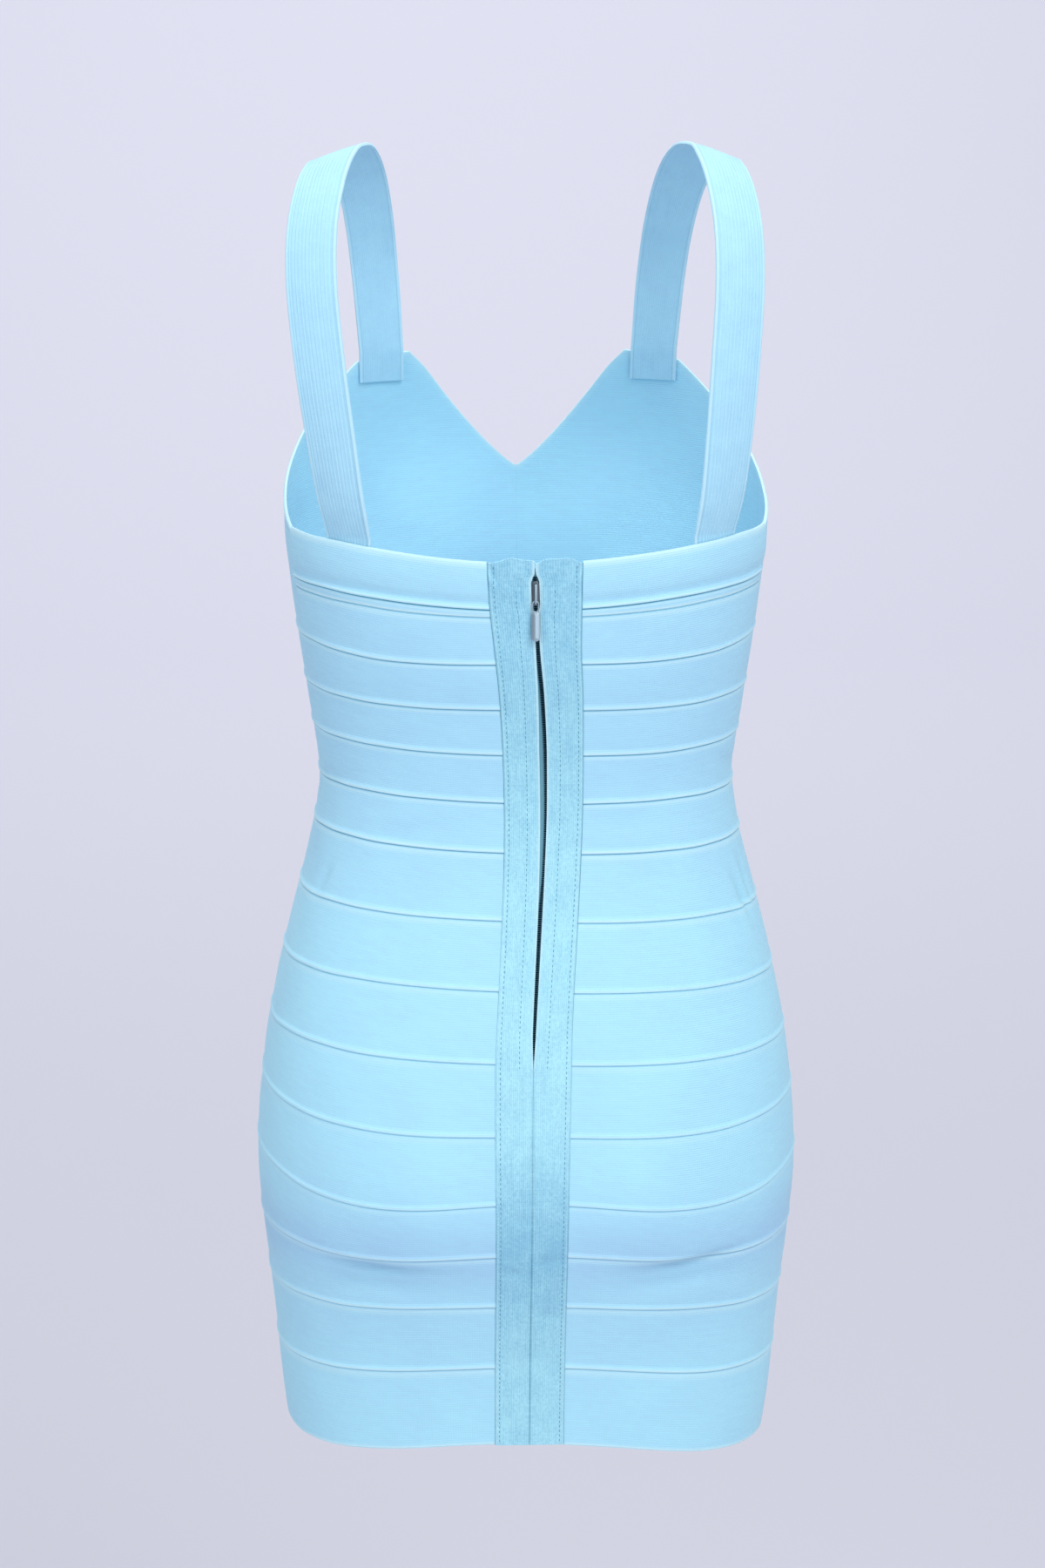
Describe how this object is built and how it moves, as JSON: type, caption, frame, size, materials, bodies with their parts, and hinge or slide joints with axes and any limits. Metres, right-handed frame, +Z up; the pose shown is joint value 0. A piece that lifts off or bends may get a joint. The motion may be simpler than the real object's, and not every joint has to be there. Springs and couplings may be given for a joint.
{
  "type": "bodycon dress",
  "caption": "Sleeveless knee-baring bodycon dress of knitted bands with two shoulder straps and a centre back zip, held in its worn, hollow form.",
  "frame": {"origin": "midway between the undersides of the two strap crowns, where the wearer's shoulders carry the dress", "axes": "+Z up, -Y the way the front of the dress faces, +X the wearer's left"},
  "size_m": [0.342, 0.2466, 0.8177],
  "materials": {
    "knit_band": "fine ribbed knit in sky blue with a soft sheen",
    "knit_facing": "lengthwise ribbed knit strip, a deeper sky blue",
    "zip_tape": "woven zip tape",
    "slider_metal": "polished silver-coloured metal"
  },
  "bodies": {
    "dress": {"strap_left": "knit_band", "strap_right": "knit_band", "top_band_left": "knit_band", "top_band_right": "knit_band", "narrow_band_left": "knit_band", "narrow_band_right": "knit_band", "back_band_left": "knit_band", "back_band_right": "knit_band", "cup_left": "knit_band", "cup_right": "knit_band", "zip_facing_left": "knit_facing", "zip_facing_right": "knit_facing", "zip_tape_left": "zip_tape", "zip_tape_right": "zip_tape", "band_01": "knit_band", "band_02": "knit_band", "band_03": "knit_band", "band_04": "knit_band", "band_05": "knit_band", "band_06": "knit_band", "band_07": "knit_band", "band_08": "knit_band", "band_09": "knit_band", "band_10": "knit_band", "band_11": "knit_band", "band_12": "knit_band", "band_13": "knit_band", "zip_slider": "slider_metal"},
    "pull": {"pull_tab": "slider_metal"}
  },
  "joints": [
    {"name": "pull_swing", "type": "hinge", "parent": "dress", "child": "pull", "pos_m": [-0.00054, 0.09933, -0.2572], "axis": [1, 0, 0], "range_deg": [0, 150]}
  ]
}
